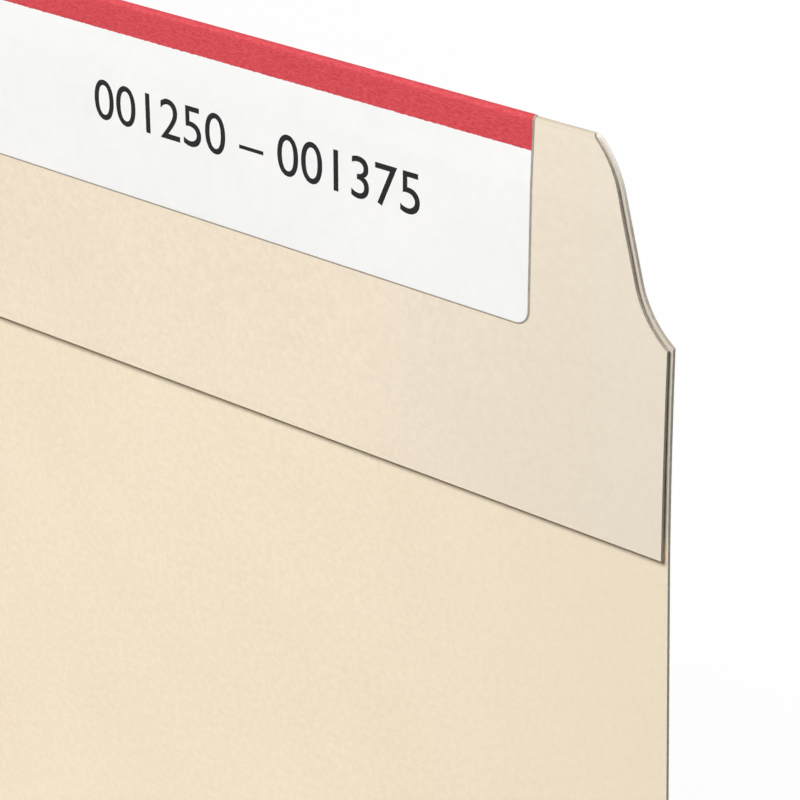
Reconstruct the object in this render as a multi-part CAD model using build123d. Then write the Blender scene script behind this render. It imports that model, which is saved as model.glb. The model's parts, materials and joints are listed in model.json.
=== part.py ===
from build123d import *
import math
import os

# Letter-size manila folder with a doubled third-cut tab and a label, open at a right angle.
# The front leaf lies on the table and the rear leaf stands behind it, facing -Y. The board
# bends at its bottom fold and at three expansion scores in front of that fold. The rear leaf's
# doubled top leans back a little.
# Lengths are in millimetres and angles in degrees.

# Board and blank
STOCK = 0.30
FOLDER_WIDTH = 298.45
REAR_HEIGHT = 241.3
FRONT_LEAF_LENGTH = 203.2
LEAF_CORNER_RADIUS = 6.4

# Bottom scores
STRIP_COUNT = 3
STRIP_WIDTH = 6.35
CREASE_CLEARANCE = 0.05
BOTTOM_FOLD_LIMIT = 135.0

# Tab, cut through both plies
TAB_HEIGHT = 15.9
TAB_TOP_WIDTH = 97.4
TAB_RUNOUT = 7.2
TAB_CORNER_ANGLE = 40.0
TAB_FLANK_ANGLE = 74.6
TAB_CROWN_RADIUS = 8.0
TAB_FOOT_RADIUS = 7.7

# Flap that doubles the tab
FLAP_DEPTH = 31.0
FLAP_INSET = 0.22
FOLD_BORE = 0.30
FOLD_TAPER = 3.0
GLUE_GAP = 0.10

# Lean of the doubled top, which the leaf has come into at a depth below the tab's top
TOP_LEAN = 3.3
LEAN_RADIUS = 140.0
LEAN_DEPTH = 24.5

# Glue lines between the plies, placed by the depth of their middle below the tab's top
GLUE_WIDTH = 3.0
GLUE_MARGIN = 7.0
TAB_GLUE_DEPTH = 9.0
LEAF_GLUE_DEPTHS = (18.5, 22.5)

# Label, wrapped over the top of the tab
LABEL_LENGTH = 87.3
LABEL_FRONT_DEPTH = 16.0
LABEL_REAR_DEPTH = 2.7
LABEL_CORNER_RADIUS = 1.5
LABEL_THICKNESS = 0.10
ADHESIVE_THICKNESS = 0.05

# Sizes worked out from those above
HALF_STOCK = STOCK / 2
CREASE_RADIUS = HALF_STOCK + CREASE_CLEARANCE
LABEL_BUILD_UP = ADHESIVE_THICKNESS + LABEL_THICKNESS
GUSSET_WIDTH = STRIP_COUNT * STRIP_WIDTH
SHOULDER = REAR_HEIGHT - TAB_HEIGHT
TAB_CENTRE_X = FOLDER_WIDTH / 2 - TAB_RUNOUT - TAB_TOP_WIDTH / 2

# The tab's fold in section: u is height above the bottom fold, v is towards the reader.
# Its angles are in radians, counted from the rear leaf.
FOLD_RADIUS = (FOLD_BORE + STOCK) / 2
FOLD_U = REAR_HEIGHT - FOLD_RADIUS - HALF_STOCK
FOLD_V = FOLD_RADIUS
FLAP_V = STOCK + GLUE_GAP
FLAP_RISE = FLAP_V - FOLD_V
TAPER_ANGLE = math.asin(FOLD_RADIUS / math.hypot(FOLD_TAPER, FLAP_RISE))
TAPER_ANGLE -= math.atan2(FLAP_RISE, FOLD_TAPER)
FOLD_TOP = math.pi / 2
FOLD_END = math.pi + TAPER_ANGLE

# The rear leaf's top is drawn flat in X, u and v, and then turned back past an arc in the leaf
LEAN = math.radians(TOP_LEAN)
LEAN_END = REAR_HEIGHT - LEAN_DEPTH
LEAN_START = LEAN_END - LEAN_RADIUS * LEAN
LEAN_TURN = Pos(0, LEAN_START, -LEAN_RADIUS) * Rot(-TOP_LEAN, 0, 0) * Pos(0, -LEAN_END, LEAN_RADIUS)

# The folder's depth, with the labelled fold as its rearmost place, is centred on the origin
FOLD_SET_BACK = LEAN_RADIUS - (LEAN_RADIUS + FOLD_V) * math.cos(LEAN)
FOLD_SET_BACK += (FOLD_U - LEAN_END) * math.sin(LEAN)
REAR_REACH = FOLD_SET_BACK + FOLD_RADIUS + HALF_STOCK + LABEL_BUILD_UP
DEPTH = FRONT_LEAF_LENGTH + GUSSET_WIDTH + REAR_REACH
FRONT_EDGE_Y = -DEPTH / 2
BOTTOM_FOLD_Y = FRONT_EDGE_Y + FRONT_LEAF_LENGTH + GUSSET_WIDTH

# The rear leaf is drawn flat in X and u, and then stood up on the bottom fold
REAR_PLACE = Pos(0, BOTTOM_FOLD_Y, HALF_STOCK) * Rot(90, 0, 0)
TOP_PLACE = REAR_PLACE * LEAN_TURN


def heading(angle):
    """Direction that runs outwards and down at an angle below the level."""
    return (math.cos(math.radians(angle)), -math.sin(math.radians(angle)))


def board_section(length):
    """Section of a panel along Y, with its middle plane at Z = 0."""
    return Pos(length / 2, 0) * Rectangle(length, STOCK)


def panel(section):
    """Panel of the folder's full width from its section."""
    return extrude(Plane.YZ * section, FOLDER_WIDTH / 2, both=True)


def front_leaf():
    """Leaf on the table: round nose at the score, rounded corners at its free edge."""
    section = board_section(FRONT_LEAF_LENGTH) + Pos(FRONT_LEAF_LENGTH, 0) * Circle(HALF_STOCK)
    leaf = panel(section)
    free_corners = leaf.edges().filter_by(Axis.Z).group_by(Axis.Y)[0]
    leaf = fillet(free_corners, LEAF_CORNER_RADIUS)
    return Pos(0, FRONT_EDGE_Y, HALF_STOCK) * leaf


def gusset_strip(number):
    """Strip between two scores, counted from the rear leaf: cove in front, nose behind."""
    section = board_section(STRIP_WIDTH) + Pos(STRIP_WIDTH, 0) * Circle(HALF_STOCK)
    section -= Circle(CREASE_RADIUS)
    return Pos(0, BOTTOM_FOLD_Y - number * STRIP_WIDTH, HALF_STOCK) * panel(section)


def tab_outline(inset=0.0):
    """Die outline of the rear leaf, in X and u, with its sides and tab drawn in by an inset."""
    flank_cosine = math.cos(math.radians(TAB_FLANK_ANGLE))
    crown_drop = TAB_CROWN_RADIUS * (math.cos(math.radians(TAB_CORNER_ANGLE)) - flank_cosine)
    foot_drop = TAB_FOOT_RADIUS * (1 - flank_cosine)
    flank_length = (TAB_HEIGHT - crown_drop - foot_drop) / math.sin(math.radians(TAB_FLANK_ANGLE))
    open_top = REAR_HEIGHT + STOCK
    corner = (TAB_TOP_WIDTH / 2, REAR_HEIGHT)
    crown_turn = TAB_FLANK_ANGLE - TAB_CORNER_ANGLE
    with BuildSketch() as half:
        with BuildLine():
            Polyline((0, 0), (0, open_top), (TAB_TOP_WIDTH / 2, open_top), corner)
            crown = JernArc(corner, heading(TAB_CORNER_ANGLE), TAB_CROWN_RADIUS, -crown_turn)
            flank = Line(crown @ 1, crown @ 1 + Vector(*heading(TAB_FLANK_ANGLE)) * flank_length)
            foot = JernArc(flank @ 1, heading(TAB_FLANK_ANGLE), TAB_FOOT_RADIUS, TAB_FLANK_ANGLE)
            Polyline(foot @ 1, (FOLDER_WIDTH, SHOULDER), (FOLDER_WIDTH, 0), (0, 0))
        make_face()
    cut = half.sketch + mirror(half.sketch, about=Plane.YZ)
    if inset:
        cut = offset(cut, -inset, kind=Kind.INTERSECTION)
    sides = Pos(0, open_top / 2) * Rectangle(FOLDER_WIDTH - 2 * inset, open_top)
    return (Pos(TAB_CENTRE_X, 0) * cut) & sides


def die_cut(folded, inset):
    """Folded board after the die has cut the tab through it."""
    reach = FOLD_V + FOLD_RADIUS + STOCK
    return folded & extrude(tab_outline(inset), reach, both=True)


def round_shoulder(plate, inset):
    """Round the leaf's upper corner on the side away from the tab."""
    corner = (-FOLDER_WIDTH / 2 + inset, SHOULDER - inset, 0)
    edge = plate.edges().filter_by(Axis.Z).sort_by_distance(corner)[0]
    return fillet(edge, LEAF_CORNER_RADIUS - inset)


def bottom_fold_clearance():
    """Room round the bottom fold for the gusset's nose, as far as the fold closes."""
    limit = math.radians(BOTTOM_FOLD_LIMIT)
    reach = 4 * STOCK
    middle = CREASE_RADIUS - reach / 2
    place = Pos(middle * math.sin(limit), middle * math.cos(limit))
    bevel = place * Rot(0, 0, 90 - BOTTOM_FOLD_LIMIT) * Rectangle(reach, 2 * reach)
    return panel(Circle(CREASE_RADIUS) + bevel)


def leaf_below_lean():
    """Single ply from the bottom fold up through the arc that starts the lean."""
    with BuildSketch(Plane.YZ) as section:
        with BuildLine():
            arcs = []
            for side in (-HALF_STOCK, HALF_STOCK):
                Line((0, side), (LEAN_START, side))
                arcs.append(JernArc((LEAN_START, side), (1, 0), LEAN_RADIUS + side, -TOP_LEAN))
            Line((0, -HALF_STOCK), (0, HALF_STOCK))
            Line(arcs[0] @ 1, arcs[1] @ 1)
        make_face()
    return extrude(section.sketch, FOLDER_WIDTH / 2, both=True)


def back_leaf():
    """Standing leaf, up to where the board starts to turn over at the tab's top."""
    height = Pos(0, (LEAN_END + FOLD_U) / 2) * Rectangle(FOLDER_WIDTH, FOLD_U - LEAN_END)
    top = extrude(tab_outline() & height, HALF_STOCK, both=True)
    top = round_shoulder(top, 0.0)
    return REAR_PLACE * (leaf_below_lean() - bottom_fold_clearance() + LEAN_TURN * top)


def fold_point(offset_out, angle):
    """Point of the tab's fold at an offset from the board's middle."""
    radius = FOLD_RADIUS + offset_out
    return (FOLD_U + radius * math.sin(angle), FOLD_V - radius * math.cos(angle))


def taper_end(offset_out):
    """Point where the flap's taper meets its glued face, at an offset from the board's middle."""
    v = FLAP_V + offset_out
    run = (FOLD_RADIUS + offset_out - math.cos(TAPER_ANGLE) * (v - FOLD_V)) / math.sin(TAPER_ANGLE)
    return (FOLD_U - run, v)


def tab_fold():
    """Rounded fold along the tab's top."""
    with BuildSketch(Plane.YZ) as section:
        with BuildLine():
            inner = ThreePointArc(*(fold_point(-HALF_STOCK, a) for a in (0, FOLD_TOP, FOLD_END)))
            outer = ThreePointArc(*(fold_point(HALF_STOCK, a) for a in (0, FOLD_TOP, FOLD_END)))
            Line(inner @ 0, outer @ 0)
            Line(inner @ 1, outer @ 1)
        make_face()
    return TOP_PLACE * die_cut(extrude(section.sketch, FOLDER_WIDTH / 2, both=True), FLAP_INSET)


def reinforcing_flap():
    """Second ply: down from the fold, in to the glue, and on to a straight lower edge."""
    lower_edge = REAR_HEIGHT - FLAP_DEPTH
    with BuildSketch(Plane.YZ) as section:
        with BuildLine():
            Polyline(
                fold_point(-HALF_STOCK, FOLD_END),
                taper_end(-HALF_STOCK),
                (lower_edge, FLAP_V - HALF_STOCK),
                (lower_edge, FLAP_V + HALF_STOCK),
                taper_end(HALF_STOCK),
                fold_point(HALF_STOCK, FOLD_END),
                close=True,
            )
        make_face()
    flap = die_cut(extrude(section.sketch, FOLDER_WIDTH / 2, both=True), FLAP_INSET)
    return TOP_PLACE * round_shoulder(flap, FLAP_INSET)


def flap_glue():
    """Glue lines in the gap between the rear leaf and the flap."""
    lines = [(TAB_CENTRE_X, TAB_TOP_WIDTH, TAB_GLUE_DEPTH)]
    lines += [(0, FOLDER_WIDTH, depth) for depth in LEAF_GLUE_DEPTHS]
    middle = HALF_STOCK + GLUE_GAP / 2
    beads = [
        Pos(x, REAR_HEIGHT - depth, middle) * Box(span - 2 * GLUE_MARGIN, GLUE_WIDTH, GLUE_GAP)
        for x, span, depth in lines
    ]
    return TOP_PLACE * Compound(children=beads)


def wrapped_layer(inner, outer):
    """Layer of the label's outline between two offsets from the board's middle."""
    front_end = REAR_HEIGHT - LABEL_FRONT_DEPTH
    rear_end = REAR_HEIGHT - LABEL_REAR_DEPTH
    with BuildSketch(Plane.YZ) as section:
        with BuildLine():
            for side in (inner, outer):
                Line((rear_end, -side), (FOLD_U, -side))
                ThreePointArc(*(fold_point(side, a) for a in (0, FOLD_TOP, FOLD_END)))
                Polyline(fold_point(side, FOLD_END), taper_end(side), (front_end, FLAP_V + side))
            Line((rear_end, -inner), (rear_end, -outer))
            Line((front_end, FLAP_V + inner), (front_end, FLAP_V + outer))
        make_face()
    layer = extrude(section.sketch, LABEL_LENGTH / 2, both=True)
    layer = fillet(layer.edges().filter_by(Axis.Z), LABEL_CORNER_RADIUS)
    return TOP_PLACE * Pos(TAB_CENTRE_X, 0, 0) * layer


def label_adhesive():
    """Adhesive coat between the tab and the label."""
    return wrapped_layer(HALF_STOCK, HALF_STOCK + ADHESIVE_THICKNESS)


def label():
    """Face paper of the label."""
    return wrapped_layer(HALF_STOCK + ADHESIVE_THICKNESS, HALF_STOCK + LABEL_BUILD_UP)


pieces = {
    "front_leaf": front_leaf(),
    "back_leaf": back_leaf(),
    "tab_fold": tab_fold(),
    "reinforcing_flap": reinforcing_flap(),
    "flap_glue": flap_glue(),
    "label_adhesive": label_adhesive(),
    "label": label(),
}
for number in range(1, STRIP_COUNT + 1):
    pieces[f"gusset_strip_{number}"] = gusset_strip(number)

os.makedirs("parts", exist_ok=True)
for name, piece in pieces.items():
    export_step(piece, f"parts/{name}.step")
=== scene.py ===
import cmath
import json
import math

import bmesh
import bpy
from mathutils import Matrix, Vector


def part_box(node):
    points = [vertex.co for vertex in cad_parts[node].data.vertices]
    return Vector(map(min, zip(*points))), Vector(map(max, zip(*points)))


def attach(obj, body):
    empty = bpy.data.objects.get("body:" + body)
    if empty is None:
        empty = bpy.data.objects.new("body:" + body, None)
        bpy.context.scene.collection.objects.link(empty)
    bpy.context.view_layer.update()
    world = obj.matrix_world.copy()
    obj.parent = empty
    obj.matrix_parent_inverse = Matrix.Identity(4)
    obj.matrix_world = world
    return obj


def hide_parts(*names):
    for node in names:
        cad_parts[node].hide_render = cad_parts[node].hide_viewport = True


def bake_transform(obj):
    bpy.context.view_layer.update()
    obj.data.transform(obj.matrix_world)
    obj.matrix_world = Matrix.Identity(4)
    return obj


# Looks of a manila folder with a doubled tab and a wrapped label.
# The board is one sheet: X runs along its folds and s along a section of it, towards the bottom
# fold on the front leaf, up the rear leaf, over the tab and down the flap. Its inner face is on
# the left of that way. Sizes are in millimetres until a mesh is made.

MM = 0.001

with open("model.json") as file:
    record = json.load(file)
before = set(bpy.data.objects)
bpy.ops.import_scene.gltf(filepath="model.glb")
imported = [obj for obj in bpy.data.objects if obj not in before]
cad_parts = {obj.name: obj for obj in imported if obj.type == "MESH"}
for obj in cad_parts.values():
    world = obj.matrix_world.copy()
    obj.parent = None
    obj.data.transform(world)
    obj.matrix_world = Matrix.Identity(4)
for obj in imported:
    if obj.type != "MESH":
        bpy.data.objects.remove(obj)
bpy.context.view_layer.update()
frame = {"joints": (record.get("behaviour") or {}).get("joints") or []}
joints = {joint["name"]: joint for joint in frame["joints"]}

# Board, with the widths to which its outer and inner arrises are rounded
STOCK = 0.30
HALF_STOCK = STOCK / 2
BOARD_SIDES = (-HALF_STOCK, HALF_STOCK)
BOARD_ARRISES = (0.05, 0.03)
FOLDER_WIDTH = (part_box("front_leaf")[1].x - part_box("front_leaf")[0].x) / MM
SIDE = FOLDER_WIDTH / 2
FRONT_EDGE_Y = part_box("front_leaf")[0].y / MM
LEAF_CORNER_RADIUS = 6.4

# Creases, between the panels that they join
CREASES = ("score_3", "score_2", "score_1", "bottom_fold")
CREASE_Y = {name: joint["pos_m"][1] / MM for name, joint in joints.items()}
CREASE_REACH = 0.6
CREASE_BURNISH = 0.6
SCORE_RISE = 0.11
BOTTOM_FOLD_RADIUS = 0.3
FRONT_CURL = 1.2

# Tab, cut through both plies. Heights are above the bottom fold, and depths below the tab's top
REAR_HEIGHT = 241.3
TAB_HEIGHT = 15.9
TAB_TOP_WIDTH = 97.4
TAB_RUNOUT = 7.2
TAB_CORNER_ANGLE = math.radians(40)
TAB_FLANK_ANGLE = math.radians(74.6)
TAB_CROWN_RADIUS = 8.0
TAB_FOOT_RADIUS = 7.7
SHOULDER = REAR_HEIGHT - TAB_HEIGHT
TAB_CENTRE_X = SIDE - TAB_RUNOUT - TAB_TOP_WIDTH / 2

# Lean of the doubled top, and the fold over which the board comes down as a flap
LEAN = math.radians(3.3)
LEAN_RADIUS = 365.0
LEAN_END = REAR_HEIGHT - 12.3
LEAN_START = LEAN_END - LEAN_RADIUS * LEAN
FLAP_DEPTH = 31.07
FLAP_INSET = 0.16
FLAP_BOW_RADIUS = 520.0
FLAP_LIFT = 0.34
FLAP_LIFT_START = 24.0
GLUE_GAP = 0.20
FLAP_STAND_OFF = STOCK + GLUE_GAP
FOLD_RADIUS = 0.17
FOLD_TAPER = 5.0
FOLD_SAG = 0.16
TAPER_BEND_RADIUS = 6.0
FOLD_U = REAR_HEIGHT - FOLD_SAG - FOLD_RADIUS - HALF_STOCK
TAPER = math.asin(FOLD_RADIUS / math.hypot(FOLD_TAPER, FLAP_STAND_OFF - FOLD_RADIUS))
TAPER -= math.atan2(FLAP_STAND_OFF - FOLD_RADIUS, FOLD_TAPER)
FOLD_TURN = math.pi + TAPER
FOLD_END = FOLD_U + FOLD_RADIUS * FOLD_TURN
FLAP_TOP_U = FOLD_U - FOLD_RADIUS * math.sin(TAPER)

# Glue lines between the plies, by the depth of their middle
GLUE_WIDTH = 3.0
GLUE_MARGIN = 7.0
GLUE_END_RADIUS = 1.2
GLUE_ARRISES = (0.03, 0.03)
TAB_GLUE_DEPTH = 9.0
LEAF_GLUE_DEPTHS = (18.5, 22.5)

# Label
LABEL_LENGTH = 87.3
LABEL_FRONT_DEPTH = 15.92
LABEL_REAR_DEPTH = 2.7
LABEL_CORNER_RADIUS = 1.1
LABEL_THICKNESS = 0.06
LABEL_ARRISES = (0.012, 0.004)
ADHESIVE_THICKNESS = 0.02
# Rim of grey adhesive past the label: partly adhesive, partly a painted shade line
ADHESIVE_AND_SHADE_RIM = 0.15
BAR_DEPTH = 2.6
BAR_BLUR = 0.02
BAR_RAGGEDNESS = 0.03
PRINT = "001250 – 001375"
PRINT_HEIGHT = 3.3
PRINT_RIGHT = 127.0
PRINT_BASE_DEPTH = 10.1
INK_THICKNESS = 0.006

# Wear, painted shade and a painted highlight. Where a mark has two depths, it is full down to the first
# and gone at the second
# Painted shade: the board gets darker and greyer towards the folder's two sides, over this width and by
# at most this share
SIDE_SHADE_WIDTH = 32.0
SIDE_SHADE_SHARE = 0.55
# The outer face's roll over the tab's fold: partly wear, partly painted shade that tones down the light
# on the roll
FOLD_WEAR_AND_SHADE_DEPTHS = (0.20, 0.56)
# Painted shade on the inner face between the plies, where the flap shades the leaf
PLY_SHADE_DEPTHS = (27.0, 30.0)
# The rear ply's cut edge near the tab's top: partly frayed fibres, partly a painted highlight where it
# faces the light
FRAYED_AND_HIGHLIGHT_DEPTHS = (2.0, 7.0)
FRAYED_AND_HIGHLIGHT_SHARE = 0.85
PLY_LINE = FLAP_STAND_OFF / 2
PLY_BLUR = 0.01

# Division of the meshes, as lengths, angles and numbers of steps
CELL = 12.0
LEAN_STEP = 2.0
TAB_STEP = 5.0
TAPER_STEP = 0.5
FLAP_STEP = 3.0
BOW_STEP = 1.0
CUT_STEP = 0.4
SHOULDER_STEP = math.radians(6)
CORNER_STEP = math.radians(7.5)
FOLD_STEPS = 18
CREASE_STEPS = 12
ARRIS_STEPS = 3
SHARP_ANGLE = math.radians(13)
CUT_TOLERANCE = 1e-5
MERGE_DISTANCE = 1e-4
SEAM_TOLERANCE = 1e-3
RUN_TOLERANCE = 1e-9


def section_runs(start, angle, parts):
    """Runs of a section in Y + iZ: each part is a length and the angle that it turns to the left."""
    runs = []
    travelled = 0.0
    for length, turn in parts:
        runs.append((travelled, start, angle, length, turn))
        start = run_point(runs[-1], length)[0]
        angle += turn
        travelled += length
    return runs


def run_point(run, distance):
    """Place and direction at a distance along one run."""
    _, start, angle, length, turn = run
    if not turn:
        return start + cmath.rect(distance, angle), angle
    radius = length / turn
    end = angle + distance / radius
    return start + (cmath.rect(radius, end) - cmath.rect(radius, angle)) / 1j, end


def sheet_point(runs, x, s, out):
    """Point in metres at x and s, and at a distance from the section towards its left."""
    run = [r for r in runs if r[0] <= s + RUN_TOLERANCE or r is runs[0]][-1]
    place, angle = run_point(run, s - run[0])
    place += out * cmath.rect(1, angle + math.pi / 2)
    return Vector((x, place.real, place.imag)) * MM


def rear_runs():
    """Section of the rear leaf from the bottom fold, over the tab's fold and down the flap."""
    bend_length = TAPER_BEND_RADIUS * abs(TAPER)
    taper_length = FOLD_TAPER - TAPER_BEND_RADIUS * math.tan(abs(TAPER) / 2)
    return section_runs(
        complex(CREASE_Y["bottom_fold"], HALF_STOCK),
        math.pi / 2,
        [
            (LEAN_START, 0),
            (LEAN_END - LEAN_START, -LEAN),
            (FOLD_U - LEAN_END, 0),
            (FOLD_END - FOLD_U, FOLD_TURN),
            (taper_length, 0),
            (bend_length, -TAPER),
            (flap_s(LEAN_END) - FOLD_END - taper_length - bend_length, 0),
            (FLAP_DEPTH, FLAP_DEPTH / FLAP_BOW_RADIUS),
        ],
    )


def flap_s(u):
    """Distance along the section of a height on the flap."""
    return FOLD_END + FLAP_TOP_U - u


def top_place(x, u, v):
    """World point of a place beside the leaning tab: x, height u along it and v towards the reader."""
    place, angle = run_point(rear_runs()[2], u - LEAN_END)
    place += v * cmath.rect(1, angle + math.pi / 2)
    return Vector((x, place.real, place.imag)) * MM


def steps(low, high, size):
    """Evenly spaced values from low to high, both included, about a size apart."""
    count = max(1, round((high - low) / size))
    return [low + (high - low) * i / count for i in range(count + 1)]


def tab_side(inset):
    """Right side of the tab from its top corner to its foot: distance from its centre, and height."""
    flank_cosine = math.cos(TAB_FLANK_ANGLE)
    crown_drop = TAB_CROWN_RADIUS * (math.cos(TAB_CORNER_ANGLE) - flank_cosine)
    foot_drop = TAB_FOOT_RADIUS * (1 - flank_cosine)
    flank_length = (TAB_HEIGHT - crown_drop - foot_drop) / math.sin(TAB_FLANK_ANGLE)
    crown_turn = TAB_FLANK_ANGLE - TAB_CORNER_ANGLE
    runs = section_runs(
        complex(TAB_TOP_WIDTH / 2, REAR_HEIGHT),
        -TAB_CORNER_ANGLE,
        [
            (TAB_CROWN_RADIUS * crown_turn, -crown_turn),
            (flank_length, 0),
            (TAB_FOOT_RADIUS * TAB_FLANK_ANGLE, TAB_FLANK_ANGLE),
        ],
    )
    points = []
    for run in runs:
        for distance in steps(0, run[3], CUT_STEP)[:-1]:
            points.append(run_point(run, distance))
    points.append(run_point(runs[-1], runs[-1][3]))
    inset_points = [place + inset * cmath.rect(1, angle - math.pi / 2) for place, angle in points]
    return [(p.real, p.imag) for p in inset_points]


def cut_at(points, height):
    """Distance from the tab's centre at which its side passes a height."""
    for (x0, u0), (x1, u1) in zip(points, points[1:]):
        if u1 <= height:
            return x0 + (x1 - x0) * (height - u0) / (u1 - u0)
    return points[-1][0]


def right_chain(inset, top):
    """Right edge of one ply, from a height near the tab's top down to where its side is straight."""
    points = tab_side(inset)
    edge = SIDE - inset - TAB_CENTRE_X
    chain = [(cut_at(points, top), top)]
    chain += [p for p in points if p[1] < top and p[0] < edge]
    last = points.index(chain[-1])
    (x0, u0), (x1, u1) = points[last], points[last + 1]
    chain.append((edge, u0 + (u1 - u0) * (edge - x0) / (x1 - x0)))
    return [(TAB_CENTRE_X + x, u) for x, u in chain]


def left_chain(inset, top):
    """Left edge of one ply, from a height near the tab's top, along the shoulder and round it."""
    points = tab_side(inset)
    chain = [(TAB_CENTRE_X - cut_at(points, top), top)]
    chain += [(TAB_CENTRE_X - x, u) for x, u in points if u < top]
    radius = LEAF_CORNER_RADIUS - inset
    for angle in steps(math.pi / 2, math.pi, SHOULDER_STEP):
        x = -SIDE + inset + radius + radius * math.cos(angle)
        chain.append((x, SHOULDER - inset - radius + radius * math.sin(angle)))
    return chain


def fold_edge(side):
    """Cut end of the tab's fold on one side, as x and s, with the flap's inset coming in over it."""
    edge = []
    for angle in steps(0, FOLD_TURN, FOLD_TURN / FOLD_STEPS)[1:-1]:
        u = FOLD_U + FOLD_RADIUS * math.sin(angle)
        inset = FLAP_INSET * min(1.0, angle / (math.pi / 2))
        edge.append((TAB_CENTRE_X + side * cut_at(tab_side(inset), u), FOLD_U + FOLD_RADIUS * angle))
    return edge


def rear_outline():
    """Developed outline of the rear leaf, the tab's fold and the flap, as x and s."""
    lower_edge = flap_s(REAR_HEIGHT - FLAP_DEPTH)
    outline = [(-SIDE, CREASE_REACH), (SIDE, CREASE_REACH)]
    outline += right_chain(0, FOLD_U)[::-1]
    outline += fold_edge(1)
    outline += [(x, flap_s(u)) for x, u in right_chain(FLAP_INSET, FLAP_TOP_U)]
    outline += [(SIDE - FLAP_INSET, lower_edge), (-SIDE + FLAP_INSET, lower_edge)]
    outline += [(x, flap_s(u)) for x, u in left_chain(FLAP_INSET, FLAP_TOP_U)[::-1]]
    outline += fold_edge(-1)[::-1]
    outline += left_chain(0, FOLD_U)
    return outline


def rounded_rectangle(low, high, radii):
    """Outline with a radius for each corner, from the lower left one round to the right."""
    corners = [(low[0], low[1]), (high[0], low[1]), (high[0], high[1]), (low[0], high[1])]
    outline = []
    for number, ((x, s), radius) in enumerate(zip(corners, radii)):
        if not radius:
            outline.append((x, s))
            continue
        centre_x = x + radius if number in (0, 3) else x - radius
        centre_s = s + radius if number < 2 else s - radius
        start = math.pi + number * math.pi / 2
        for angle in steps(start, start + math.pi / 2, CORNER_STEP):
            outline.append((centre_x + radius * math.cos(angle), centre_s + radius * math.sin(angle)))
    return outline


def add_object(name, data):
    """Object of a name and its data, in the scene."""
    added = bpy.data.objects.new(name, data)
    bpy.context.scene.collection.objects.link(added)
    return added


def cut_sheet(outline, cuts):
    """Flat sheet of an outline in x and s, divided along lines of each."""
    flat = bmesh.new()
    flat.faces.new([flat.verts.new((x, s, 0)) for x, s in outline])
    for axis, values in enumerate(cuts):
        normal = Vector((axis == 0, axis == 1, 0))
        for value in values:
            bmesh.ops.bisect_plane(
                flat,
                geom=flat.verts[:] + flat.edges[:] + flat.faces[:],
                dist=CUT_TOLERANCE,
                plane_co=normal * value,
                plane_no=normal,
            )
    bmesh.ops.remove_doubles(flat, verts=flat.verts, dist=MERGE_DISTANCE)
    flat.verts.index_update()
    return flat


def sheet_piece(
    name, runs, outline, cuts, out, materials, seams=(), lift=None, arrises=BOARD_ARRISES, wear=None
):
    """Closed sheet between two distances from a section, cut to an outline in x and s.

    cuts are the x and s lines that divide it, seams are the s lines at which it meets its
    neighbour without a cut edge, lift adds to the distance from the section, arrises are the
    widths to which its outer and inner arrises are rounded, and wear is its burnish at s. The
    materials are those of its inner face, its outer face and its cut edges.
    """
    flat = cut_sheet(outline, cuts)
    solid = bmesh.new()
    burnish = solid.verts.layers.float.new("wear")
    rings = []
    for side in out:
        ring = []
        for vert in flat.verts:
            x, s = vert.co.x, vert.co.y
            raised = side + (lift(x, s) if lift else 0)
            corner = solid.verts.new(sheet_point(runs, x, s, raised))
            corner[burnish] = wear(s) if wear else 0
            ring.append(corner)
        rings.append(ring)
    outer, inner = rings
    for face in flat.faces:
        order = [v.index for v in face.verts]
        if face.normal.z < 0:
            order.reverse()
        solid.faces.new([inner[i] for i in order]).material_index = 0
        solid.faces.new([outer[i] for i in reversed(order)]).material_index = 1
    rims = ([], [])
    for edge in flat.edges:
        if not edge.is_boundary:
            continue
        loop = edge.link_loops[0]
        a, b = loop.vert.index, loop.link_loop_next.vert.index
        if edge.link_faces[0].normal.z < 0:
            a, b = b, a
        side = solid.faces.new([outer[a], outer[b], inner[b], inner[a]])
        side.material_index = 2
        if not any(all(abs(v.co.y - s) < SEAM_TOLERANCE for v in edge.verts) for s in seams):
            for rim, ring in zip(rims, rings):
                rim.append(solid.edges.get((ring[a], ring[b])))
    flat.free()
    for rim, width in zip(rims, arrises):
        bmesh.ops.bevel(
            solid,
            geom=rim,
            offset=width * MM,
            segments=ARRIS_STEPS,
            profile=0.5,
            affect="EDGES",
            clamp_overlap=True,
        )
    for face in solid.faces:
        face.smooth = True
    mesh = bpy.data.meshes.new(name)
    solid.to_mesh(mesh)
    solid.free()
    mesh.set_sharp_from_angle(angle=SHARP_ANGLE)
    for material in materials:
        mesh.materials.append(material)
    return add_object(name, mesh)


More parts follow.
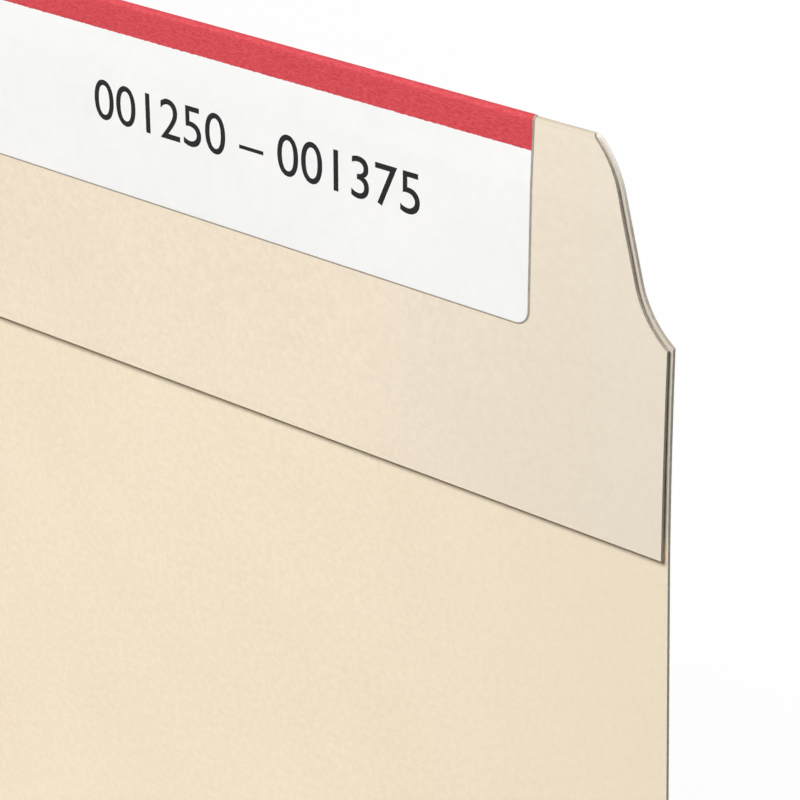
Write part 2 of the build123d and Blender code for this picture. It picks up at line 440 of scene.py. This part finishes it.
class Nodes:
    """Material whose nodes are added one by one."""

    def __init__(self, name):
        self.material = bpy.data.materials.new(name)
        self.material.use_nodes = True
        self.tree = self.material.node_tree
        self.shader = self.tree.nodes["Principled BSDF"]

    def add(self, kind, inputs=None, **settings):
        """New node with its settings, and with a value or another node's output on its inputs."""
        node = self.tree.nodes.new(kind)
        for key, value in settings.items():
            setattr(node, key, value)
        for socket, value in (inputs or {}).items():
            self.set(node.inputs[socket], value)
        return node

    def set(self, socket, value):
        """Value or another node's output on one input."""
        if isinstance(value, bpy.types.NodeSocket):
            self.tree.links.new(value, socket)
        else:
            socket.default_value = value

    def noise(self, scale, detail=3.0, roughness=0.55):
        """Noise on the piece with its features per metre along each axis."""
        where = self.add("ShaderNodeTexCoord").outputs["Object"]
        place = self.add("ShaderNodeMapping", {"Vector": where, "Scale": scale}).outputs[0]
        inputs = {"Vector": place, "Scale": 1.0, "Detail": detail, "Roughness": roughness}
        return self.add("ShaderNodeTexNoise", inputs).outputs["Fac"]

    def spread(self, value, low, high, new_low=0.0, new_high=1.0):
        """Value taken from one range to another, and kept within that."""
        inputs = {0: value, 1: low, 2: high, 3: new_low, 4: new_high}
        return self.add("ShaderNodeMapRange", inputs).outputs[0]

    def mix(self, factor, first, second):
        """Colour that goes from the first to the second with the factor."""
        node = self.add("ShaderNodeMix", data_type="RGBA")
        for socket, value in zip((0, 6, 7), (factor, first, second)):
            self.set(node.inputs[socket], value)
        return node.outputs[2]

    def math(self, operation, first, second):
        """Result of an operation on two values."""
        return self.add("ShaderNodeMath", {0: first, 1: second}, operation=operation).outputs[0]

    def reach_from_tab(self, direction):
        """Distance in metres from the tab's top, along a direction."""
        where = self.add("ShaderNodeTexCoord").outputs["Object"]
        reach = self.add("ShaderNodeVectorMath", {0: where, 1: direction}, operation="DOT_PRODUCT")
        tab_top = top_place(0, REAR_HEIGHT, 0)
        return self.math("SUBTRACT", reach.outputs["Value"], tab_top.dot(direction))

    def depth_below_tab(self):
        """Distance in metres below the tab's top, along the leaning tab."""
        return self.reach_from_tab(Vector((0, -math.sin(LEAN), -math.cos(LEAN))))

    def reach_before_tab(self):
        """Distance in metres before the middle of the tab's rear ply, towards the reader."""
        return self.reach_from_tab(Vector((0, -math.cos(LEAN), math.sin(LEAN))))

    def distance_from_middle(self):
        """Distance in metres from the folder's middle, along its folds."""
        where = self.add("ShaderNodeTexCoord").outputs["Object"]
        along = self.add("ShaderNodeSeparateXYZ", {0: where}).outputs["X"]
        return self.add("ShaderNodeMath", {0: along}, operation="ABSOLUTE").outputs[0]

    def bump(self, height, strength, distance):
        """Relief of the surface, with its depth in metres."""
        inputs = {"Height": height, "Strength": strength, "Distance": distance}
        self.set(self.shader.inputs["Normal"], self.add("ShaderNodeBump", inputs).outputs[0])

    def finish(self, colour, roughness, specular):
        """The material, once its shader has these."""
        self.set(self.shader.inputs["Base Color"], colour)
        self.set(self.shader.inputs["Roughness"], roughness)
        self.set(self.shader.inputs["Specular IOR Level"], specular)
        return self.material


def rgb(red, green, blue):
    """Colour in linear light from its screen values."""
    screen = [value / 255 for value in (red, green, blue)]
    linear = [c / 12.92 if c <= 0.04045 else ((c + 0.055) / 1.055) ** 2.4 for c in screen]
    return (*linear, 1.0)


def board_face(name, light, dark, fibre, side_shade, wear_and_shade_depths, wear_and_shade_tone):
    """Face of manila board: cloudy pulp, fine fibres, a toothy surface, painted shade towards the
    folder's sides, and a darker tone near the tab's top that is painted shade and, on the outer face,
    also wear.
    """
    nodes = Nodes(name)
    cloud = nodes.noise((45, 45, 45))
    pulp = nodes.noise((1700, 1700, 1700), detail=5.0, roughness=0.75)
    clouded = nodes.spread(cloud, 0.3, 0.7, 0, 0.35)
    colour = nodes.mix(nodes.math("ADD", clouded, nodes.spread(pulp, 0.38, 0.62, 0, 0.65)), dark, light)
    long_fibres = nodes.spread(nodes.noise((260, 2600, 2600), detail=2.0), 0.66, 0.80, 0, 0.2)
    cross_fibres = nodes.spread(nodes.noise((2600, 420, 420), detail=2.0), 0.68, 0.80, 0, 0.2)
    colour = nodes.mix(nodes.math("MAXIMUM", long_fibres, cross_fibres), colour, fibre)
    from_middle = nodes.distance_from_middle()
    # painted shade, darker and greyer towards the folder's sides
    side_shaded = nodes.spread(from_middle, (SIDE - SIDE_SHADE_WIDTH) * MM, SIDE * MM, 0, SIDE_SHADE_SHARE)
    colour = nodes.mix(side_shaded, colour, side_shade)
    # darker tone below the tab's top: wear and painted shade on the outer face, painted shade between
    # the plies on the inner face
    worn_and_shaded = nodes.spread(nodes.depth_below_tab(), wear_and_shade_depths[1] * MM, wear_and_shade_depths[0] * MM)
    colour = nodes.mix(worn_and_shaded, colour, wear_and_shade_tone)
    burnish = nodes.add("ShaderNodeAttribute", attribute_name="wear").outputs["Fac"]
    colour = nodes.mix(burnish, colour, CREASE_TONE)
    tooth = nodes.noise((3200, 3200, 3200), roughness=0.6)
    nodes.bump(nodes.math("ADD", tooth, pulp), strength=0.12, distance=0.04 * MM)
    return nodes.finish(colour, roughness=nodes.spread(pulp, 0.3, 0.7, 0.72, 0.86), specular=0.22)


def board_edge():
    """Cut through the board, with its layers and torn fibres, paler at the rear ply's tab corners,
    partly for frayed fibres and partly as a painted highlight.
    """
    nodes = Nodes("board_cut_edge")
    layers = nodes.noise((900, 9000, 2500), roughness=0.7)
    torn = nodes.noise((2400, 2400, 2400), detail=4.0, roughness=0.7)
    shade = nodes.math("MULTIPLY", nodes.spread(layers, 0.3, 0.7), nodes.spread(torn, 0.25, 0.65))
    colour = nodes.mix(shade, rgb(166, 156, 141), rgb(212, 203, 187))
    depth = nodes.depth_below_tab()
    # paler rear-ply edge at the tab's top: frayed fibres and a painted highlight
    at_corner = nodes.spread(depth, FRAYED_AND_HIGHLIGHT_DEPTHS[1] * MM, FRAYED_AND_HIGHLIGHT_DEPTHS[0] * MM, 0, FRAYED_AND_HIGHLIGHT_SHARE)
    rear_ply = nodes.spread(nodes.reach_before_tab(), (PLY_LINE + PLY_BLUR) * MM, PLY_LINE * MM)
    colour = nodes.mix(nodes.math("MULTIPLY", at_corner, rear_ply), colour, rgb(244, 239, 230))
    nodes.bump(torn, strength=0.3, distance=0.06 * MM)
    return nodes.finish(colour, roughness=nodes.spread(torn, 0.3, 0.7, 0.8, 0.95), specular=0.15)


def label_face():
    """White label paper with a printed bar along the tab's fold."""
    nodes = Nodes("label_face")
    pulp = nodes.noise((800, 800, 800), detail=4.0, roughness=0.65)
    clouded = nodes.spread(nodes.noise((120, 120, 120)), 0.3, 0.7, 0, 0.5)
    shade = nodes.math("ADD", clouded, nodes.spread(pulp, 0.3, 0.7, 0, 0.5))
    paper = nodes.mix(shade, rgb(243, 244, 244), rgb(250, 250, 249))
    streak = nodes.noise((2600, 8000, 8000), detail=4.0, roughness=0.7)
    bar = nodes.mix(nodes.spread(streak, 0.3, 0.7), rgb(188, 56, 65), rgb(225, 88, 95))
    rough_edge = nodes.noise((2600, 2600, 2600), detail=2.0)
    ragged = nodes.spread(rough_edge, 0.3, 0.7, -BAR_RAGGEDNESS * MM, BAR_RAGGEDNESS * MM)
    depth = nodes.math("ADD", nodes.depth_below_tab(), ragged)
    in_bar = nodes.spread(depth, (BAR_DEPTH + BAR_BLUR) * MM, (BAR_DEPTH - BAR_BLUR) * MM)
    colour = nodes.mix(in_bar, paper, bar)
    nodes.bump(pulp, strength=0.08, distance=0.03 * MM)
    return nodes.finish(colour, roughness=nodes.spread(pulp, 0.3, 0.7, 0.6, 0.75), specular=0.25)


def speckled(name, dark, light, scale, roughness, specular):
    """Plain material whose colour and surface vary a little."""
    nodes = Nodes(name)
    grain = nodes.noise((scale, scale, scale), detail=4.0, roughness=0.65)
    nodes.bump(grain, strength=0.1, distance=0.03 * MM)
    colour = nodes.mix(nodes.spread(grain, 0.3, 0.7), dark, light)
    return nodes.finish(colour, nodes.spread(grain, 0.3, 0.7, roughness, roughness + 0.12), specular)


# Materials
# CREASE_TONE darkens the creases' burnish, and on the tab's fold roll it is also painted shade
CREASE_TONE = rgb(206, 194, 174)
inner_face = board_face(
    "board_inner_face",
    light=rgb(252, 239, 215),
    dark=rgb(242, 226, 200),
    fibre=rgb(227, 209, 178),
    side_shade=rgb(237, 223, 201),
    # painted shade on the inner face between the plies, near the tab's top
    wear_and_shade_depths=PLY_SHADE_DEPTHS,
    wear_and_shade_tone=rgb(212, 203, 190),
)
outer_face = board_face(
    "board_outer_face",
    light=rgb(247, 233, 212),
    dark=rgb(236, 221, 199),
    fibre=rgb(220, 202, 177),
    side_shade=rgb(226, 220, 206),
    wear_and_shade_depths=FOLD_WEAR_AND_SHADE_DEPTHS,
    wear_and_shade_tone=CREASE_TONE,
)
board = [inner_face, outer_face, board_edge()]
label_front = label_face()
label_back = speckled(
    "label_back", rgb(232, 231, 226), rgb(240, 239, 235), scale=900, roughness=0.7, specular=0.2
)
label_edge = speckled(
    "label_cut_edge", rgb(222, 219, 214), rgb(238, 236, 232), scale=2600, roughness=0.8, specular=0.15
)
# grey adhesive, whose rim round the label is also a painted shade line
adhesive_and_shade = speckled(
    "label_adhesive", rgb(150, 141, 128), rgb(176, 167, 154), scale=1800, roughness=0.45, specular=0.4
)
ink = speckled("print_ink", rgb(18, 16, 18), rgb(34, 31, 33), scale=2600, roughness=0.6, specular=0.2)
glue = speckled(
    "flap_glue", rgb(222, 214, 188), rgb(236, 229, 208), scale=600, roughness=0.4, specular=0.4
)

# Rear leaf, tab and flap
rear = rear_runs()
taper_start, flap_start, bow_start = (rear[number][0] for number in (4, 6, 7))
rear_lines = steps(CREASE_REACH, LEAN_START, CELL)[1:]
rear_lines += steps(LEAN_START, LEAN_END, LEAN_STEP)[1:]
rear_lines += steps(LEAN_END, FOLD_U, TAB_STEP)[1:]
rear_lines += steps(FOLD_U, FOLD_END, FOLD_RADIUS * FOLD_TURN / FOLD_STEPS)[1:]
rear_lines += steps(taper_start, flap_start, TAPER_STEP)[1:]
rear_lines += steps(flap_start, bow_start, FLAP_STEP)[1:]
rear_lines += steps(bow_start, flap_s(REAR_HEIGHT - FLAP_DEPTH), BOW_STEP)[1:-1]
columns = steps(-SIDE, SIDE, CELL)[1:-1]


def flap_lift(x, s):
    """Rise of the flap's free edge off the leaf, most at its middle."""
    below_start = max(0.0, s - flap_s(REAR_HEIGHT - FLAP_LIFT_START))
    share = below_start / (FLAP_DEPTH - FLAP_LIFT_START)
    return -FLAP_LIFT * share ** 2 * math.cos(math.pi / 2 * x / SIDE)


rear_board = sheet_piece(
    "rear_board",
    rear,
    rear_outline(),
    (columns, rear_lines),
    BOARD_SIDES,
    board,
    seams=[CREASE_REACH],
    lift=flap_lift,
)
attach(rear_board, "rear")
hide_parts("back_leaf", "tab_fold", "reinforcing_flap")

# Label and its adhesive, wrapped over the fold on the board's outer face. The adhesive's grey rim past
# the paper is partly adhesive and partly a painted shade line round the label
label_sides = (TAB_CENTRE_X - LABEL_LENGTH / 2, TAB_CENTRE_X + LABEL_LENGTH / 2)
label_ends = (REAR_HEIGHT - LABEL_REAR_DEPTH, flap_s(REAR_HEIGHT - LABEL_FRONT_DEPTH))
label_lines = [s for s in rear_lines if label_ends[0] < s < label_ends[1]]
label_columns = [x for x in columns if label_sides[0] < x < label_sides[1]]
adhesive_out = -HALF_STOCK - ADHESIVE_THICKNESS
label_out = adhesive_out - LABEL_THICKNESS


def label_layer(name, rim, out, materials):
    """Layer of the label between two distances from the board's middle, with a rim past the paper."""
    low = (label_sides[0] - rim, label_ends[0] - rim)
    high = (label_sides[1] + rim, label_ends[1] + rim)
    outline = rounded_rectangle(low, high, [LABEL_CORNER_RADIUS + rim] * 4)
    cuts = (label_columns, label_lines)
    layer = sheet_piece(name, rear, outline, cuts, out, materials, arrises=LABEL_ARRISES)
    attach(layer, "rear")
    return layer


label = label_layer("label_paper", 0, (label_out, adhesive_out), [label_back, label_front, label_edge])
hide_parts("label")
coat = label_layer("label_coat", ADHESIVE_AND_SHADE_RIM, (adhesive_out, -HALF_STOCK), [adhesive_and_shade] * 3)
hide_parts("label_adhesive")


def ply_gap(u):
    """Room between the leaf and the flap at a height, which grows below the lean's end."""
    below = max(0.0, LEAN_END - u)
    return GLUE_GAP + below ** 2 / 2 * (1 / LEAN_RADIUS - 1 / FLAP_BOW_RADIUS)


def glue_line(name, centre_x, span, depth):
    """Line of dried glue that fills the room between the plies."""
    u = REAR_HEIGHT - depth
    low = (centre_x - span / 2, u - GLUE_WIDTH / 2)
    high = (centre_x + span / 2, u + GLUE_WIDTH / 2)
    outline = rounded_rectangle(low, high, [GLUE_END_RADIUS] * 4)
    cuts = ([x for x in columns if low[0] < x < high[0]], [u])
    out = (HALF_STOCK, HALF_STOCK + ply_gap(u))
    line = sheet_piece(name, rear, outline, cuts, out, [glue] * 3, arrises=GLUE_ARRISES)
    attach(line, "rear")
    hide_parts("flap_glue")


glue_line("glue_line_tab", TAB_CENTRE_X, TAB_TOP_WIDTH - 2 * GLUE_MARGIN, TAB_GLUE_DEPTH)
for number, depth in enumerate(LEAF_GLUE_DEPTHS, 1):
    glue_line(f"glue_line_leaf_{number}", 0, FOLDER_WIDTH - 2 * GLUE_MARGIN, depth)


def printed_line():
    """Line of plain numbers, as thin ink on the label's face."""
    curve = bpy.data.curves.new("label_print", "FONT")
    curve.body = PRINT
    source = bpy.data.objects.new("label_print_source", curve)
    flat = bpy.data.meshes.new_from_object(source)
    bpy.data.objects.remove(source)
    shape = bmesh.new()
    shape.from_mesh(flat)
    right = max(v.co.x for v in shape.verts)
    size = PRINT_HEIGHT / max(v.co.y for v in shape.verts)
    raised = bmesh.ops.extrude_face_region(shape, geom=shape.faces[:], use_keep_orig=True)["geom"]
    top = {v for v in raised if isinstance(v, bmesh.types.BMVert)}
    for vert in shape.verts:
        x = PRINT_RIGHT + (vert.co.x - right) * size
        s = flap_s(REAR_HEIGHT - PRINT_BASE_DEPTH + vert.co.y * size)
        out = label_out - (INK_THICKNESS if vert in top else -INK_THICKNESS)
        vert.co = sheet_point(rear, x, s, out)
    bmesh.ops.recalc_face_normals(shape, faces=shape.faces)
    mesh = bpy.data.meshes.new("label_print")
    shape.to_mesh(mesh)
    shape.free()
    mesh.materials.append(ink)
    line = add_object("label_print", mesh)
    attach(line, "rear")


printed_line()

# Front leaf, strips and creases
flat_runs = section_runs(complex(FRONT_EDGE_Y, HALF_STOCK), 0, [(FOLDER_WIDTH, 0)])
crease_s = {name: y - FRONT_EDGE_Y for name, y in CREASE_Y.items()}
front_end = crease_s["score_3"] - CREASE_REACH


def curl(x, s):
    """Rise of the front leaf towards its free edge."""
    return FRONT_CURL * (1 - s / front_end) ** 2


front_board = sheet_piece(
    "front_board",
    flat_runs,
    rounded_rectangle((-SIDE, 0), (SIDE, front_end), [LEAF_CORNER_RADIUS, LEAF_CORNER_RADIUS, 0, 0]),
    (columns, steps(0, front_end, CELL)[1:-1]),
    BOARD_SIDES,
    board,
    seams=[front_end],
    lift=curl,
)
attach(front_board, "front")
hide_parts("front_leaf")

for number, near, far in zip((3, 2, 1), CREASES, CREASES[1:]):
    ends = (crease_s[near] + CREASE_REACH, crease_s[far] - CREASE_REACH)
    strip = sheet_piece(
        f"gusset_board_{number}",
        flat_runs,
        rounded_rectangle((-SIDE, ends[0]), (SIDE, ends[1]), [0] * 4),
        (columns, []),
        BOARD_SIDES,
        board,
        seams=ends,
    )
    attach(strip, joints[near]["child"])
    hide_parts(f"gusset_strip_{number}")


def score_bead(x, s):
    """Bead that a score raises on the inner face."""
    return SCORE_RISE * math.sin(math.pi * s / (2 * CREASE_REACH)) ** 2


def crease(name):
    """Board that crosses a crease, bent round the bottom fold and raised in a bead at a score."""
    fold_y = CREASE_Y[name]
    if name == "bottom_fold":
        straight = CREASE_REACH - BOTTOM_FOLD_RADIUS
        parts = [(straight, 0), (BOTTOM_FOLD_RADIUS * math.pi / 2, math.pi / 2), (straight, 0)]
        bead = None
    else:
        parts = [(2 * CREASE_REACH, 0)]
        bead = score_bead
    length = sum(part[0] for part in parts)

    def rub(s):
        """Burnish of the crease, most along its middle."""
        return CREASE_BURNISH * math.sin(math.pi * s / length) ** 2

    bent = sheet_piece(
        f"crease_{name}",
        section_runs(complex(fold_y - CREASE_REACH, HALF_STOCK), 0, parts),
        rounded_rectangle((-SIDE, 0), (SIDE, length), [0] * 4),
        (columns, steps(0, length, length / CREASE_STEPS)[1:-1]),
        BOARD_SIDES,
        board,
        seams=[0, length],
        lift=bead,
        wear=rub,
    )
    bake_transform(bent)


for name in CREASES:
    crease(name)

# Floor, light and camera. The aim of the lights and the camera's places are x, u and v beside the
# tab, in millimetres. The floor's sizes and the clip distance are in metres.
WHITE = (1.0, 1.0, 1.0, 1.0)
FLOOR_HALF = 4.0
FLOOR_Z = -0.0002
FLOOR_DULL = (0.06, 0.06, 0.06, 1.0)
FLOOR_PALE = (0.95, 0.95, 0.95, 1.0)
FLOOR_GLOW = 0.92
FLOOR_FADE = (0.3, 1.2)
AMBIENT = 0.05
LIGHT_AIM = (110, 225, 0)
CAMERA_PLACE = (254.49, 311.75, 155.785)
CAMERA_TARGET = (124.97, 215.79, 0.545)
SENSOR_WIDTH = 36.0
FOCAL_LENGTH = 133.65
CLIP_START = 0.01


def seen_directly(tree):
    """1 for rays from the camera, reflections and glass, 0 for the light that falls on the object."""
    path = tree.nodes.new("ShaderNodeLightPath")
    total = path.outputs["Is Camera Ray"]
    for ray in ("Is Glossy Ray", "Is Transmission Ray"):
        larger = tree.nodes.new("ShaderNodeMath")
        larger.operation = "MAXIMUM"
        tree.links.new(total, larger.inputs[0])
        tree.links.new(path.outputs[ray], larger.inputs[1])
        total = larger.outputs[0]
    return total


def floor_material():
    """White floor that shows the shadow, fades into the background and sends little light back up."""
    material = bpy.data.materials.new("floor")
    material.use_nodes = True
    tree = material.node_tree
    tree.nodes.clear()
    output = tree.nodes.new("ShaderNodeOutputMaterial")
    shown = tree.nodes.new("ShaderNodeMixShader")
    split = tree.nodes.new("ShaderNodeMixShader")
    dull = tree.nodes.new("ShaderNodeBsdfDiffuse")
    pale = tree.nodes.new("ShaderNodeBsdfDiffuse")
    bright = tree.nodes.new("ShaderNodeEmission")
    dull.inputs["Color"].default_value = FLOOR_DULL
    pale.inputs["Color"].default_value = FLOOR_PALE
    bright.inputs["Color"].default_value = WHITE
    place = tree.nodes.new("ShaderNodeNewGeometry")
    away = tree.nodes.new("ShaderNodeVectorMath")
    away.operation = "LENGTH"
    fade = tree.nodes.new("ShaderNodeMapRange")
    for socket, value in zip(fade.inputs[1:5], (FLOOR_FADE[0], FLOOR_FADE[1], FLOOR_GLOW, 1.0)):
        socket.default_value = value
    tree.links.new(place.outputs["Position"], away.inputs[0])
    tree.links.new(away.outputs["Value"], fade.inputs[0])
    tree.links.new(fade.outputs[0], shown.inputs[0])
    tree.links.new(pale.outputs[0], shown.inputs[1])
    tree.links.new(bright.outputs[0], shown.inputs[2])
    tree.links.new(seen_directly(tree), split.inputs[0])
    tree.links.new(dull.outputs[0], split.inputs[1])
    tree.links.new(shown.outputs[0], split.inputs[2])
    tree.links.new(split.outputs[0], output.inputs["Surface"])
    return material


def floor():
    """Wide level floor just under the folder."""
    corners = [(-1, -1), (1, -1), (1, 1), (-1, 1)]
    mesh = bpy.data.meshes.new("floor")
    mesh.from_pydata([(FLOOR_HALF * x, FLOOR_HALF * y, FLOOR_Z) for x, y in corners], [], [(0, 1, 2, 3)])
    mesh.materials.append(floor_material())
    add_object("floor", mesh)


def surroundings():
    """World that looks white and gives the object a little light from all sides."""
    world = bpy.data.worlds.new("surroundings")
    bpy.context.scene.world = world
    world.use_nodes = True
    tree = world.node_tree
    tree.nodes.clear()
    output = tree.nodes.new("ShaderNodeOutputWorld")
    around = tree.nodes.new("ShaderNodeBackground")
    behind = tree.nodes.new("ShaderNodeBackground")
    split = tree.nodes.new("ShaderNodeMixShader")
    around.inputs["Color"].default_value = WHITE
    around.inputs["Strength"].default_value = AMBIENT
    behind.inputs["Color"].default_value = WHITE
    tree.links.new(seen_directly(tree), split.inputs[0])
    tree.links.new(around.outputs[0], split.inputs[1])
    tree.links.new(behind.outputs[0], split.inputs[2])
    tree.links.new(split.outputs[0], output.inputs["Surface"])


def soft_light(name, direction, distance, size, level):
    """Lamp of a width and height that gives a facing white surface on the tab about the level named."""
    lamp = bpy.data.lights.new(name, "AREA")
    lamp.shape = "RECTANGLE"
    lamp.size, lamp.size_y = size
    lamp.energy = level * (math.pi * distance) ** 2
    light = add_object(name, lamp)
    direction = Vector(direction).normalized()
    light.location = top_place(*LIGHT_AIM) + direction * distance
    light.rotation_euler = direction.to_track_quat("Z", "Y").to_euler()


def camera():
    """Camera at the photograph's place beside the leaning tab."""
    place = top_place(*CAMERA_PLACE)
    upward = Vector((0, math.sin(LEAN), math.cos(LEAN)))
    back = (place - top_place(*CAMERA_TARGET)).normalized()
    right = upward.cross(back).normalized()
    turn = Matrix((right, back.cross(right), back)).transposed()
    lens = bpy.data.cameras.new("camera")
    lens.sensor_width = SENSOR_WIDTH
    lens.lens = FOCAL_LENGTH
    lens.clip_start = CLIP_START
    view = add_object("camera", lens)
    view.matrix_world = Matrix.Translation(place) @ turn.to_4x4()
    bpy.context.scene.camera = view


floor()
surroundings()
soft_light("key", direction=(0.08, -0.675, 0.735), distance=2.0, size=(0.9, 0.55), level=1.28)
soft_light("back_fill", direction=(0.3, 0.95, 0.06), distance=1.6, size=(1.0, 0.5), level=1.12)
camera()

bpy.context.scene.view_settings.view_transform = "Standard"
